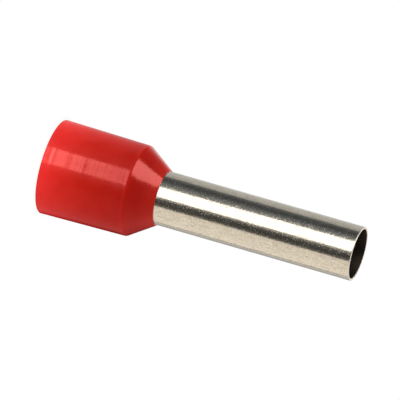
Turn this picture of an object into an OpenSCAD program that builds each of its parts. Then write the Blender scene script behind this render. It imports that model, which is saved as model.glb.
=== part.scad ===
// Insulated wire ferrule for 10 mm2 stranded wire, with an 18 mm sleeve.
// It stands on the mouth of its collar. The origin is the centre of that mouth,
// and +Z runs along the axis to the tip of the sleeve.

/* [Sleeve] */
// Bore of the metal sleeve, where the strands lie
bore_d = 4.4; // [3.9:0.1:4.6]
// Wall of the metal sleeve
sleeve_wall = 0.2; // [0.19:0.01:0.25]
// Length of the sleeve that stands out of the collar
sleeve_free = 18; // [12:0.5:25]
// Straight stretch that ends the flare at the inner end, past its bend
flare_tail = 0.13; // [0.05:0.01:0.4]
// Radius on both edges of the cut tip
tip_round = 0.09; // [0.02:0.01:0.09]

/* [Collar] */
// Length of the collar, from its mouth to its nose
collar_len = 10.25; // [9:0.05:14]
// Diameter of the pocket that takes the wire's insulation
pocket_d = 7.5; // [6.6:0.1:8.5]
// Wall round the pocket at the mouth
mouth_wall = 0.47; // [0.4:0.01:0.6]
// Wall round the pocket at the shoulder, which is less by the mould's draft
shoulder_wall = 0.32; // [0.28:0.01:0.45]
// Length of the cone between the shoulder and the nose
cone_len = 2.34; // [2:0.02:2.8]
// Wall of the cone, square to its face
cone_wall = 0.5; // [0.4:0.05:0.55]
// Thickness of the lip that ends the nose round the sleeve
nose_lip = 0.08; // [0.05:0.01:0.15]
// Straight stretch of the collar's bore inside that lip
nose_grip = 0.07; // [0.05:0.01:0.2]
// Radius on both edges of the mouth
mouth_round = 0.04; // [0.02:0.01:0.15]
// Radius on the shoulder
shoulder_round = 0.3; // [0.1:0.05:0.4]

/* [Hidden] */
$fn = 96;

bore_r = bore_d / 2;
sleeve_r = bore_r + sleeve_wall;
tip_z = collar_len + sleeve_free;

pocket_r = pocket_d / 2;
mouth_r = pocket_r + mouth_wall;
shoulder_r = pocket_r + shoulder_wall;
nose_r = sleeve_r + nose_lip;
shoulder_z = collar_len - cone_len;

// The funnel inside the cone runs parallel to the cone's outer face. The flare lies on it.
cone_angle = atan2(shoulder_r - nose_r, cone_len);
cone_slope = tan(cone_angle);
funnel_r = shoulder_r - cone_wall / cos(cone_angle);
function funnel_z(r) = shoulder_z + (funnel_r - r) / cone_slope;
neck_z = funnel_z(sleeve_r);

// The bend from bore to funnel starts below the nose's straight stretch
bend_reach = collar_len - nose_grip - neck_z;
bend_r = bend_reach / tan(cone_angle / 2);

// Profile corners [r, z] that both pieces share where they touch
nose_edge = [sleeve_r, collar_len];
neck = [sleeve_r, neck_z];
flare_rim = neck + (bend_reach + flare_tail) * [sin(cone_angle), -cos(cone_angle)];

// The same corners on the sleeve's inner face, one wall away
inward = -sleeve_wall * [cos(cone_angle), sin(cone_angle)];
inner_rim = flare_rim + inward;
inner_neck = [bore_r, neck_z - sleeve_wall * tan(cone_angle / 2)];

function unit(v) = v / norm(v);

// Points of the arc of radius r that rounds the corner at b between a and c
function rounded(a, b, c, r, steps = 8) =
    let (
        to_a = unit(a - b),
        to_c = unit(c - b),
        half = acos(to_a * to_c) / 2,
        centre = b + unit(to_a + to_c) * r / sin(half),
        from = b + to_a * r / tan(half) - centre,
        to = b + to_c * r / tan(half) - centre,
        start = atan2(from.y, from.x),
        turn = atan2(cross(from, to), from * to)
    )
    [for (i = [0 : steps]) centre + r * [cos(start + turn * i / steps), sin(start + turn * i / steps)]];

// Tinned copper tube, flared where it seats in the collar's funnel
module sleeve() {
    tip_out = [sleeve_r, tip_z];
    tip_in = [bore_r, tip_z];
    color("#c9c3b8") rotate_extrude()
        polygon(concat(
            [flare_rim],
            rounded(flare_rim, neck, tip_out, bend_r),
            rounded(neck, tip_out, tip_in, tip_round),
            rounded(tip_out, tip_in, inner_neck, tip_round),
            rounded(tip_in, inner_neck, inner_rim, bend_r + sleeve_wall),
            [inner_rim]
        ));
}

// Moulded collar: insulation pocket, drafted wall, shoulder, cone and funnel
module collar() {
    mouth_out = [mouth_r, 0];
    mouth_in = [pocket_r, 0];
    shoulder = [shoulder_r, shoulder_z];
    nose = [nose_r, collar_len];
    pocket_end = [pocket_r, funnel_z(pocket_r)];
    color("#d5261c") rotate_extrude()
        polygon(concat(
            rounded(mouth_in, mouth_out, shoulder, mouth_round),
            rounded(mouth_out, shoulder, nose, shoulder_round),
            [nose, nose_edge],
            rounded(nose_edge, neck, flare_rim, bend_r),
            [pocket_end],
            rounded(pocket_end, mouth_in, mouth_out, mouth_round)
        ));
}

sleeve();
collar();
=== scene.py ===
import math
import bpy
import numpy as np
from mathutils import Matrix, Vector


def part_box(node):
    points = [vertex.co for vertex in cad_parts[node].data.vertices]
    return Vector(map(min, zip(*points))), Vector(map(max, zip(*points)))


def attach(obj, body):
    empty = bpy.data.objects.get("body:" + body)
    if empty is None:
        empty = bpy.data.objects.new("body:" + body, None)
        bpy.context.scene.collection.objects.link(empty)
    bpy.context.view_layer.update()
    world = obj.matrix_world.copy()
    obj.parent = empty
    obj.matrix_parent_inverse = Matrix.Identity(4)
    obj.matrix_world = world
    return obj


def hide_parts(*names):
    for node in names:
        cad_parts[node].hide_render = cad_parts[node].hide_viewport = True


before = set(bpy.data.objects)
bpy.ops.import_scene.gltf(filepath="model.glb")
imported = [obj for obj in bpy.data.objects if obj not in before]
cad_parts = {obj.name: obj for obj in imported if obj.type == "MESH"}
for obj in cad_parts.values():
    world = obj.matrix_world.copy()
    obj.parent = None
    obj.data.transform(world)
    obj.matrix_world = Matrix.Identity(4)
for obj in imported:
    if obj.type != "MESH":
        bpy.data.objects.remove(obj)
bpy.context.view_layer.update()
mm = 0.001
print("frame loaded")

sleeveSizes = {
    "bore": 4.4,            # diameter where the strands lie
    "wall": 0.2,
    "tipRound": (0.05, 0.03),   # radius on the outer and inner edge of the cut tip
    "flareTail": 0.13,      # straight end of the flare, past its bend
    "burrHeight": 0.09,     # depth of the notches in the cut edge
    "burrReach": 0.25,      # how far below the edge they are felt
    "raggedSide": 30,       # degrees from +X to the middle of the edge's ragged stretch
    "raggedSpread": 0.6,    # radians from there to where the notches have grown much smaller
    "calmDepth": 0.2,       # share of their depth elsewhere
    "turns": 480,           # steps round the axis
}
collarSizes = {
    "pocket": 7.5,          # diameter that takes the insulation
    "mouthWall": 0.47,
    "shoulderWall": 0.32,
    "coneLength": 2.34,
    "coneWall": 0.5,
    "noseLip": 0.08,
    "noseGrip": 0.07,
    "mouthRound": 0.04,
    "shoulderRound": 0.3,
    "noseRound": 0.03,
    "pocketRound": 0.2,     # where the pocket meets the funnel
    "turns": 256,
}


def unit(v):
    return v / np.linalg.norm(v)


def placed(name, data):
    thing = bpy.data.objects.new(name, data)
    bpy.context.scene.collection.objects.link(thing)
    return thing


def roundedProfile(corners, straightSteps=14, arcSteps=10):
    # A closed outline through corners (r, z, radius). Each corner becomes an arc that touches both sides: it
    # starts radius / tan(half the corner's angle) before the corner. A straight is cut by half a cosine wave,
    # so its points crowd towards the arcs.
    pieces = []
    count = len(corners)
    for i in range(count):
        before, here, after = (np.array(corners[(i + k) % count][:2], float) for k in (-1, 0, 1))
        radius = corners[i][2]
        if radius == 0:
            pieces.append(here[None, :])
            continue
        toBefore, toAfter = unit(before - here), unit(after - here)
        half = math.acos(np.clip(toBefore @ toAfter, -1, 1)) / 2
        centre = here + unit(toBefore + toAfter) * radius / math.sin(half)
        first = here + toBefore * radius / math.tan(half) - centre
        last = here + toAfter * radius / math.tan(half) - centre
        start = math.atan2(first[1], first[0])
        sweep = math.atan2(first[0] * last[1] - first[1] * last[0], first @ last)
        angle = start + sweep * np.linspace(0, 1, arcSteps + 1)
        pieces.append(centre + radius * np.stack([np.cos(angle), np.sin(angle)], 1))
    share = (0.5 - 0.5 * np.cos(np.pi * np.linspace(0, 1, straightSteps + 1)))[1:-1, None]
    outline = []
    for i in range(count):
        end, nextStart = pieces[i][-1], pieces[(i + 1) % count][0]
        outline.append(pieces[i])
        outline.append(end + (nextStart - end) * share)
    return np.concatenate(outline)


def turnedPiece(name, outline, turns, shift=None):
    # Each outline point (r, z) is carried round the axis: x = r cos a, y = r sin a. shift(r, z, a) may move
    # the points a little first. The grid closes on itself both ways, so the solid has no seam or pole.
    angle = np.linspace(0, 2 * np.pi, turns, endpoint=False)
    r = np.repeat(outline[:, 0:1], turns, 1)
    z = np.repeat(outline[:, 1:2], turns, 1)
    a = np.repeat(angle[None, :], len(outline), 0)
    if shift:
        r, z = shift(r, z, a)
    points = np.stack([r * np.cos(a), r * np.sin(a), z], 2).reshape(-1, 3) * mm
    rows = len(outline)
    i, j = np.meshgrid(np.arange(rows), np.arange(turns), indexing="ij")
    up, on = (i + 1) % rows, (j + 1) % turns
    faces = np.stack([i * turns + j, i * turns + on, up * turns + on, up * turns + j], 2).reshape(-1, 4)
    mesh = bpy.data.meshes.new(name)
    mesh.from_pydata(points.tolist(), [], faces.tolist())
    mesh.polygons.foreach_set("use_smooth", np.ones(len(faces), bool))
    mesh.update()
    return placed(name, mesh)


# The fit that both pieces share, as (radius, height) in millimetres
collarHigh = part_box("collar")[1].z / mm
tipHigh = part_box("sleeve")[1].z / mm
boreRadius = sleeveSizes["bore"] / 2
sleeveRadius = boreRadius + sleeveSizes["wall"]
pocketRadius = collarSizes["pocket"] / 2
mouthRadius = pocketRadius + collarSizes["mouthWall"]
shoulderRadius = pocketRadius + collarSizes["shoulderWall"]
noseRadius = sleeveRadius + collarSizes["noseLip"]
shoulderHigh = collarHigh - collarSizes["coneLength"]
coneAngle = math.atan2(shoulderRadius - noseRadius, collarSizes["coneLength"])
funnelRadius = shoulderRadius - collarSizes["coneWall"] / math.cos(coneAngle)


def funnelHigh(radius):
    # The funnel runs parallel to the cone's outer face, one wall inside it
    return shoulderHigh + (funnelRadius - radius) / math.tan(coneAngle)


neckHigh = funnelHigh(sleeveRadius)
bendReach = collarHigh - collarSizes["noseGrip"] - neckHigh
bendRadius = bendReach / math.tan(coneAngle / 2)
flareLength = bendReach + sleeveSizes["flareTail"]
flareRim = (sleeveRadius + flareLength * math.sin(coneAngle), neckHigh - flareLength * math.cos(coneAngle))


def makeSleeve():
    wall = sleeveSizes["wall"]
    tipOutside, tipInside = sleeveSizes["tipRound"]
    innerRim = (flareRim[0] - wall * math.cos(coneAngle), flareRim[1] - wall * math.sin(coneAngle))
    innerNeck = neckHigh - wall * math.tan(coneAngle / 2)
    outline = roundedProfile([
        (*flareRim, 0),
        (sleeveRadius, neckHigh, bendRadius),
        (sleeveRadius, tipHigh, tipOutside),
        (boreRadius, tipHigh, tipInside),
        (boreRadius, innerNeck, bendRadius + wall),
        (*innerRim, 0),
    ], straightSteps=20)

    def cutEdge(r, z, a):
        # The blade leaves a fine burr: two sine waves round the edge, which grow with the square of the way up
        # the burr's reach. They are deep on the ragged side, by a bell curve of the angle, and calm elsewhere.
        reach, calm = sleeveSizes["burrReach"], sleeveSizes["calmDepth"]
        near = np.clip((z - (tipHigh - reach)) / reach, 0, 1) ** 2
        off = np.angle(np.exp(1j * (a - math.radians(sleeveSizes["raggedSide"]))))
        deep = calm + (1 - calm) * np.exp(-(off / sleeveSizes["raggedSpread"]) ** 2)
        wave = 0.7 * np.sin(80 * a + 1.5 * np.sin(3 * a)) + 0.3 * np.sin(37 * a + 2.0)
        drop = near * sleeveSizes["burrHeight"] * deep * (0.5 + 0.5 * wave)
        return r, z - drop

    return turnedPiece("sleeveSkin", outline, sleeveSizes["turns"], cutEdge)


def makeCollar():
    outline = roundedProfile([
        (mouthRadius, 0, collarSizes["mouthRound"]),
        (shoulderRadius, shoulderHigh, collarSizes["shoulderRound"]),
        (noseRadius, collarHigh, collarSizes["noseRound"]),
        (sleeveRadius, collarHigh, 0),
        (sleeveRadius, neckHigh, bendRadius),
        (pocketRadius, funnelHigh(pocketRadius), collarSizes["pocketRound"]),
        (pocketRadius, 0, collarSizes["mouthRound"]),
    ], straightSteps=30)
    return turnedPiece("collarSkin", outline, collarSizes["turns"])


sleeve = makeSleeve()
collar = makeCollar()
print("pieces made")


def newMaterial(name):
    material = bpy.data.materials.new(name)
    material.use_nodes = True
    nodes, links = material.node_tree.nodes, material.node_tree.links
    nodes.clear()
    output = nodes.new("ShaderNodeOutputMaterial")
    shader = nodes.new("ShaderNodeBsdfPrincipled")
    links.new(shader.outputs["BSDF"], output.inputs["Surface"])
    place = nodes.new("ShaderNodeTexCoord").outputs["Object"]
    return material, nodes, links, shader, place


def scaled(nodes, links, place, scale):
    mapping = nodes.new("ShaderNodeMapping")
    mapping.inputs["Scale"].default_value = scale
    links.new(place, mapping.inputs["Vector"])
    return mapping.outputs["Vector"]


def noise(nodes, links, vector, scale, detail=2.0, rough=0.5):
    node = nodes.new("ShaderNodeTexNoise")
    node.inputs["Scale"].default_value = scale
    node.inputs["Detail"].default_value = detail
    node.inputs["Roughness"].default_value = rough
    links.new(vector, node.inputs["Vector"])
    return node.outputs["Fac"]


noiseSpan = (0.3, 0.7)      # where nearly all values of a noise lie


def between(nodes, links, value, low, high, toLow, toHigh, smooth=False):
    # The value's way from low to high, as a number from toLow to toHigh
    node = nodes.new("ShaderNodeMapRange")
    node.interpolation_type = "SMOOTHSTEP" if smooth else "LINEAR"
    links.new(value, node.inputs["Value"])
    for name, number in zip(("From Min", "From Max", "To Min", "To Max"), (low, high, toLow, toHigh)):
        node.inputs[name].default_value = number
    return node.outputs["Result"]


def feed(links, value, socket):
    # An output is linked, and a plain number or colour is written in
    if isinstance(value, bpy.types.NodeSocket):
        links.new(value, socket)
    else:
        socket.default_value = value


def maths(nodes, links, operation, first, second):
    node = nodes.new("ShaderNodeMath")
    node.operation = operation
    feed(links, first, node.inputs[0])
    feed(links, second, node.inputs[1])
    return node.outputs[0]


def mixed(nodes, links, kind, factor, low, high):
    node = nodes.new("ShaderNodeMix")
    node.data_type = kind
    for name, value in (("Factor", factor), ("A", low), ("B", high)):
        feed(links, value, node.inputs[name])
    return node.outputs["Result"]


def times(nodes, links, colour, factor):
    node = nodes.new("ShaderNodeVectorMath")
    node.operation = "SCALE"
    links.new(colour, node.inputs[0])
    links.new(factor, node.inputs["Scale"])
    return node.outputs[0]


def ramp(nodes, links, value, stops):
    node = nodes.new("ShaderNodeValToRGB")
    elements = node.color_ramp.elements
    while len(elements) < len(stops):
        elements.new(0.5)
    for element, (place, colour) in zip(elements, stops):
        element.position = place
        element.color = (*colour, 1)
    links.new(value, node.inputs["Fac"])
    return node.outputs["Color"]


def bump(nodes, links, height, deep, strength=1.0, before=None):
    # deep is the height of the whole relief, in micrometres
    node = nodes.new("ShaderNodeBump")
    node.inputs["Distance"].default_value = deep * mm / 1000
    node.inputs["Strength"].default_value = strength
    links.new(height, node.inputs["Height"])
    if before:
        links.new(before, node.inputs["Normal"])
    return node.outputs["Normal"]


tinPlate = {
    "bright": (0.85, 0.768, 0.638),
    "dull": (0.58, 0.523, 0.43),
    # painted shade: the bore's wall inside is coloured dark where shade falls deep in the hole
    "bore": (0.10, 0.076, 0.058),
    "boreRoughness": 0.5,
    "boreShadeEdge": (0.005, 0.015),     # millimetres past the bore's wall, where its painted shade ends
    "roughness": (0.11, 0.15),
    "matteSpots": 0.17,     # roughness that the dull spots add
    "spots": 9500.0,        # dull spots in a metre
    "specks": 6500.0,
    "grains": 7500.0,
    "clouds": 900.0,
    "lines": (9000, 9000, 1100),    # drawing lines in a metre across X, Y and Z
    "pits": (6000, 6000, 2600),
    "grainHeight": 2.2,     # micrometres
    "pitShade": 0.68,
}


def tinPlateMaterial():
    material, nodes, links, shader, place = newMaterial("tinPlate")
    specks = noise(nodes, links, place, tinPlate["specks"], 1.0, 0.6)
    grains = noise(nodes, links, place, tinPlate["grains"], 0.5, 0.5)
    spots = noise(nodes, links, place, tinPlate["spots"], 0.0, 0.5)
    lines = noise(nodes, links, scaled(nodes, links, place, tinPlate["lines"]), 1.0, 2.0, 0.6)
    cloud = noise(nodes, links, place, tinPlate["clouds"], 3.0, 0.6)
    pits = noise(nodes, links, scaled(nodes, links, place, tinPlate["pits"]), 1.0, 1.0, 0.5)
    # Colour: specks and drawing lines between dull and bright, times the pits, and painted shade on the bore's
    # wall inside
    both = maths(nodes, links, "ADD", specks, lines)
    tone = ramp(nodes, links, between(nodes, links, both, 2 * noiseSpan[0], 2 * noiseSpan[1], 0, 1),
                [(0.15, tinPlate["dull"]), (0.85, tinPlate["bright"])])
    tone = times(nodes, links, tone, between(nodes, links, pits, 0.66, 0.74, 1.0, tinPlate["pitShade"]))
    wide = nodes.new("ShaderNodeVectorMath")
    wide.operation = "LENGTH"
    links.new(scaled(nodes, links, place, (1, 1, 0)), wide.inputs[0])
    # Painted shade: the bore's wall, and a little past it, takes the dark colour
    edge = [(boreRadius + past) * mm for past in tinPlate["boreShadeEdge"]]
    outside = between(nodes, links, wide.outputs["Value"], *edge, 0, 1)
    colour = mixed(nodes, links, "RGBA", outside, (*tinPlate["bore"], 1), tone)
    links.new(colour, shader.inputs["Base Color"])
    shader.inputs["Metallic"].default_value = 1.0
    smudged = between(nodes, links, cloud, *noiseSpan, *tinPlate["roughness"])
    spotted = between(nodes, links, spots, 0.55, 0.75, 0, tinPlate["matteSpots"])
    rough = maths(nodes, links, "ADD", smudged, spotted)
    rough = mixed(nodes, links, "FLOAT", outside, tinPlate["boreRoughness"], rough)
    links.new(rough, shader.inputs["Roughness"])
    fine = bump(nodes, links, grains, tinPlate["grainHeight"])
    links.new(bump(nodes, links, lines, tinPlate["grainHeight"], 0.1, fine), shader.inputs["Normal"])
    return material


redPlastic = {
    # (height up the collar in millimetres, colour), with painted light in it: the lighter colour by the mouth
    # is a painted glow of light through the thin wall, the lighter band at the shoulder's edge a painted
    # highlight, and the lighter colour by the nose painted light from the sleeve; between them the colour
    # grows darker up the barrel and the cone
    "glow": [(0, (0.61, 0.016, 0.0125)), (0.1, (0.80, 0.023, 0.0195)), (0.6, (0.766, 0.0195, 0.016)),
             (1.5, (0.70, 0.0155, 0.0105)), (3, (0.585, 0.0115, 0.0055)), (4.5, (0.517, 0.008, 0.0028)),
             (6, (0.478, 0.0073, 0.002)), (7.5, (0.425, 0.006, 0.0015)), (7.9, (0.48, 0.009, 0.004)),
             (8.05, (0.41, 0.006, 0.0015)), (9, (0.37, 0.0045, 0.001)), (9.8, (0.42, 0.010, 0.004)),
             (10.25, (0.44, 0.012, 0.005))],
    "roughness": (0.12, 0.19),
    "refraction": 1.75,
    "glint": (1.0, 0.285, 0.255),
    # A slight swelling takes back part of the wall's draft, but for level bands and a ridge by the mouth that
    # turning the mould left: (up to this height in millimetres, micrometres outwards for each millimetre)
    "slopes": [(0.6, -10), (0.85, 40), (1.2, 0), (2.1, 12), (2.5, 0), (3.75, 12), (4.05, 0), (7.8, 12)],
    "clouds": 600.0,        # in a metre, as are the next three
    "rings": (60, 60, 6500),
    "flows": 500.0,
    "satins": 7000.0,
    "ringHeight": 8,        # micrometres, as are the next two
    "flowHeight": 70,
    "satinHeight": 3,
    "wallFlow": 0.06,       # share of the flow's relief that the wall shows
    "flowFrom": 8.6,        # height in millimetres from which the cone shows all of it
}


def redPlasticMaterial():
    material, nodes, links, shader, place = newMaterial("redPlastic")
    split = nodes.new("ShaderNodeSeparateXYZ")
    links.new(place, split.inputs[0])
    high = split.outputs["Z"]
    # The base colour by height holds painted light: a painted glow by the mouth, a painted highlight at the
    # shoulder's edge and painted light by the nose
    top = redPlastic["glow"][-1][0]
    share = between(nodes, links, high, 0, top * mm, 0, 1)
    glow = ramp(nodes, links, share, [(stop / top, colour) for stop, colour in redPlastic["glow"]])
    cloud = noise(nodes, links, place, redPlastic["clouds"], 3.0, 0.6)
    links.new(times(nodes, links, glow, between(nodes, links, cloud, *noiseSpan, 0.95, 1.05)),
              shader.inputs["Base Color"])
    links.new(between(nodes, links, cloud, *noiseSpan, *redPlastic["roughness"]), shader.inputs["Roughness"])
    shader.inputs["IOR"].default_value = redPlastic["refraction"]
    shader.inputs["Specular IOR Level"].default_value = 1.0
    shader.inputs["Specular Tint"].default_value = (*redPlastic["glint"], 1)
    # The mould's turning marks run round the collar, and the cone shows where the plastic flowed
    rings = noise(nodes, links, scaled(nodes, links, place, redPlastic["rings"]), 1.0, 2.0, 0.6)
    flow = noise(nodes, links, place, redPlastic["flows"], 1.0, 0.4)
    satin = noise(nodes, links, place, redPlastic["satins"], 2.0, 0.6)
    # How far out the wall stands is the sum of slope times height, band by band from the mouth up
    upTo, slopes = np.array(redPlastic["slopes"]).T
    out = np.append(0, np.cumsum(slopes * np.diff(upTo, prepend=0)))
    out -= out.min()
    heights = np.append(0, upTo)
    marks = ramp(nodes, links, between(nodes, links, high, 0, heights[-1] * mm, 0, 1),
                 [(stop, (level,) * 3) for stop, level in zip(heights / heights[-1], out / out.max())])
    relief = bump(nodes, links, marks, out.max())
    relief = bump(nodes, links, rings, redPlastic["ringHeight"], 0.4, relief)
    relief = bump(nodes, links, flow, redPlastic["flowHeight"], before=relief)
    rise = (shoulderHigh * mm, redPlastic["flowFrom"] * mm)
    links.new(between(nodes, links, high, *rise, redPlastic["wallFlow"], 1.0, smooth=True),
              relief.node.inputs["Strength"])
    links.new(bump(nodes, links, satin, redPlastic["satinHeight"], 0.5, relief), shader.inputs["Normal"])
    return material


for piece, node, slot, material in (
    (sleeve, "sleeve", "tinned_copper", tinPlateMaterial()),
    (collar, "collar", "red_plastic", redPlasticMaterial()),
):
    piece.data.materials.append(material)
    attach(piece, "root")
    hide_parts(node)
print("materials made")

camera = {
    "distance": 0.4906,     # metres, as are both aims
    "nearest": 0.01,        # nothing nearer than this many metres is drawn
    "elevation": 14.87,
    "roll": 106.0,          # degrees, so the ferrule's tip points to the right and a little down
    "aimHigh": 0.01345,     # height of the point looked at
    "aimAside": -0.00071,
    "lens": 511.3,          # millimetres, as is the sensor
    "sensor": 36,
}


def makeCamera():
    e, roll = math.radians(camera["elevation"]), math.radians(camera["roll"])
    right, up = Vector((1, 0, 0)), Vector((0, math.sin(e), math.cos(e)))
    back = Vector((0, -math.cos(e), math.sin(e)))
    across = math.cos(roll) * right + math.sin(roll) * up
    upward = -math.sin(roll) * right + math.cos(roll) * up
    data = bpy.data.cameras.new("camera")
    data.sensor_width = camera["sensor"]
    data.lens = camera["lens"]
    data.clip_start = camera["nearest"]
    view = placed("camera", data)
    aim = Vector((camera["aimAside"], 0, camera["aimHigh"]))
    view.matrix_world = Matrix.Translation(aim + back * camera["distance"]) @ Matrix(
        (across, upward, back)).transposed().to_4x4()
    bpy.context.scene.camera = view


paleFloor = {
    "halfSide": 6.0,        # metres
    "drop": 0.02,           # millimetres from the ferrule down to the floor
    "shadeReach": 0.001,    # metres within which something near darkens it
    "shade": (0.9, 1.01),   # brightness in a closed corner and in the open
}


def makeFloor():
    size, under = paleFloor["halfSide"], -paleFloor["drop"] * mm
    mesh = bpy.data.meshes.new("floor")
    mesh.from_pydata([(-size, -size, under), (size, -size, under), (size, size, under), (-size, size, under)],
                     [], [(0, 1, 2, 3)])
    floor = placed("floor", mesh)
    material = bpy.data.materials.new("paleFloor")
    material.use_nodes = True
    nodes, links = material.node_tree.nodes, material.node_tree.links
    nodes.clear()
    output = nodes.new("ShaderNodeOutputMaterial")
    glow = nodes.new("ShaderNodeEmission")
    shade = nodes.new("ShaderNodeAmbientOcclusion")
    shade.inputs["Distance"].default_value = paleFloor["shadeReach"]
    links.new(between(nodes, links, shade.outputs["AO"], 0, 1, *paleFloor["shade"]), glow.inputs["Color"])
    links.new(glow.outputs[0], output.inputs["Surface"])
    mesh.materials.append(material)
    for ray in ("visible_diffuse", "visible_glossy", "visible_transmission", "visible_shadow"):
        setattr(floor, ray, False)


# What surrounds the ferrule: (degrees round from the camera towards +X, brightness, and how blue). Shiny
# surfaces see "gloss" level with them, "above" higher up and "overhead" over that; matt ones see "soft".
studio = {
    "gloss": [(-180, 0.44, 0.3), (-165, 0.49, 0.3), (-150, 0.37, 0.2), (-135, 0.30, 0.2), (-120, 0.27, 0.2),
              (-100, 0.16, 0.5), (-90, 0.10, 1), (-81, 0.065, 1), (-70, 0.10, 1), (-55, 0.22, 0.8),
              (-45, 0.26, 0.5), (3, 0.28, 0), (10, 0.11, 0), (18, 0.055, 0), (32, 0.065, 0), (38, 0.13, 0),
              (46, 0.13, 0), (60, 0.17, 0), (80, 0.19, 0), (115, 0.24, 0), (135, 0.23, 0), (148, 0.08, 0),
              (157, 0.0, 0), (174, 0.0, 0), (180, 0.2, 0)],
    "above": [(-180, 0.95, 0), (-168, 0.9, 0), (-159, 0.6, 0), (-150, 0.35, 0), (-138, 0.19, 0),
              (-130, 0.08, 0), (-120, 0.05, 0), (0, 0.05, 0), (40, 0.06, 0), (80, 0.16, 0), (115, 0.3, 0),
              (145, 0.12, 0), (158, 0.15, 0), (166, 0.4, 0), (172, 0.95, 0), (180, 0.95, 0)],
    "soft": [(-180, 1.75, 0), (-150, 2.2, 0), (-120, 2.2, 0), (-90, 1.7, 0), (-60, 1.24, 0), (-30, 0.98, 0),
             (0, 0.92, 0), (30, 1.0, 0), (120, 1.06, 0), (150, 1.3, 0), (180, 1.75, 0)],
    "overhead": 1.3,
    "behind": 1.0,          # what the camera sees past the floor
    "aboveFrom": (-0.1, 0.15),      # sines of the elevation between which "above" takes over
    "overheadFrom": (0.84, 0.92),
    "leftBelow": 0.6,       # how much of the soft light from -X comes from below instead of above
    "strength": 2.0,
}


def levels(stops):
    # Stops of a ramp. A blue of 1 takes an eighth from the red and adds it to the blue.
    return [((at + 180) / 360, [level * (1 + blue * gain) / studio["strength"] for gain in (-1 / 8, 0, 1 / 8)])
            for at, level, blue in stops]


def makeWorld():
    world = bpy.data.worlds.new("studio")
    bpy.context.scene.world = world
    world.use_nodes = True
    world.cycles.sampling_method = "NONE"
    nodes, links = world.node_tree.nodes, world.node_tree.links
    nodes.clear()
    output = nodes.new("ShaderNodeOutputWorld")
    background = nodes.new("ShaderNodeBackground")
    background.inputs["Strength"].default_value = studio["strength"]
    links.new(background.outputs[0], output.inputs["Surface"])
    direction = nodes.new("ShaderNodeSeparateXYZ")
    links.new(nodes.new("ShaderNodeTexCoord").outputs["Generated"], direction.inputs[0])
    toRight, away, high = (direction.outputs[axis] for axis in "XYZ")
    turn = maths(nodes, links, "ARCTAN2", toRight, maths(nodes, links, "MULTIPLY", away, -1))
    share = between(nodes, links, turn, -math.pi, math.pi, 0, 1)
    leftHigh = maths(nodes, links, "MULTIPLY", maths(nodes, links, "MINIMUM", toRight, 0), high)
    lean = between(nodes, links, leftHigh, -1, 1, 1 - studio["leftBelow"], 1 + studio["leftBelow"])

    def around(name):
        return ramp(nodes, links, share, levels(studio[name]))

    def even(name):
        return (*[studio[name] / studio["strength"]] * 3, 1)

    rays = nodes.new("ShaderNodeLightPath")
    colour = around("gloss")
    for amount, seen in (
        (between(nodes, links, high, *studio["aboveFrom"], 0, 1), around("above")),
        (between(nodes, links, high, *studio["overheadFrom"], 0, 1), even("overhead")),
        (rays.outputs["Is Diffuse Ray"], times(nodes, links, around("soft"), lean)),
        (rays.outputs["Is Camera Ray"], even("behind")),
    ):
        colour = mixed(nodes, links, "RGBA", amount, colour, seen)
    links.new(colour, background.inputs["Color"])


def bearing(azimuth, elevation):
    # Direction from the ferrule: azimuth 0 is towards the camera and 90 towards +X
    a, e = math.radians(azimuth), math.radians(elevation)
    return Vector((math.sin(a) * math.cos(e), -math.cos(a) * math.cos(e), math.sin(e)))


def lightOnly(light, piece):
    group = bpy.data.collections.new(light.name + "Lit")
    group.objects.link(piece)
    light.light_linking.receiver_collection = group


boxAway = 0.4       # metres from the ferrule to each soft box


def panel(name, towards, along, halfWide, halfLong, radiance, only, tint=(1, 1, 1)):
    # A soft box: a flat light in the direction towards, with its long side along. Its half angles, as the
    # ferrule sees it, are in degrees.
    along = (along - along.dot(towards) * towards).normalized()
    width, length = (2 * boxAway * math.tan(math.radians(half)) for half in (halfWide, halfLong))
    data = bpy.data.lights.new(name, "AREA")
    data.shape = "RECTANGLE"
    data.size, data.size_y = width, length
    data.energy = radiance * math.pi * width * length
    data.color = tint
    box = placed(name, data)
    box.matrix_world = Matrix.Translation(towards * boxAway) @ Matrix(
        (along.cross(towards), along, towards)).transposed().to_4x4()
    box.visible_camera = False
    box.visible_diffuse = False
    lightOnly(box, only)


mouthLamp = {
    "place": (0.43, -7.3, -4.6),    # millimetres from the middle of the collar's mouth
    "radius": 1.5,
    "watts": 0.00064,
}


def makeLamp():
    # A small lamp close below the collar's mouth lifts its front there; mirror rays miss it
    data = bpy.data.lights.new("mouthLamp", "POINT")
    data.energy, data.shadow_soft_size = mouthLamp["watts"], mouthLamp["radius"] * mm
    lamp = placed("mouthLamp", data)
    lamp.location = Vector(mouthLamp["place"]) * mm
    lamp.visible_camera = False
    lamp.visible_glossy = False
    lightOnly(lamp, collar)


facing, slant, upright = bearing(-39.8, 15.4), bearing(-149.0, 50.35), Vector((0, 0, 1))
makeCamera()
makeFloor()
makeWorld()
panel("sideBox", facing, slant, 20.4, 62, 1.8, sleeve)
panel("wallBox", bearing(82.5, 0), upright, 42, 60, 0.71, sleeve, tint=(1.05, 1.0, 0.92))
panel("cornerBox", bearing(153, 0), upright, 25, 60, 0.42, sleeve)
panel("backBox", bearing(-136, 0), upright, 34, 60, 0.27, sleeve)
panel("collarBox", bearing(-23.5, -39), upright, 19.9, 24.5, 3.2, collar)
panel("edgeBox", bearing(-163, -1), upright, 13, 10, 0.4, collar)
panel("coneBox", bearing(-69.5, 50), upright, 17, 18, 2.6, collar)
makeLamp()
bpy.context.scene.view_settings.view_transform = "Standard"
print("stage made")
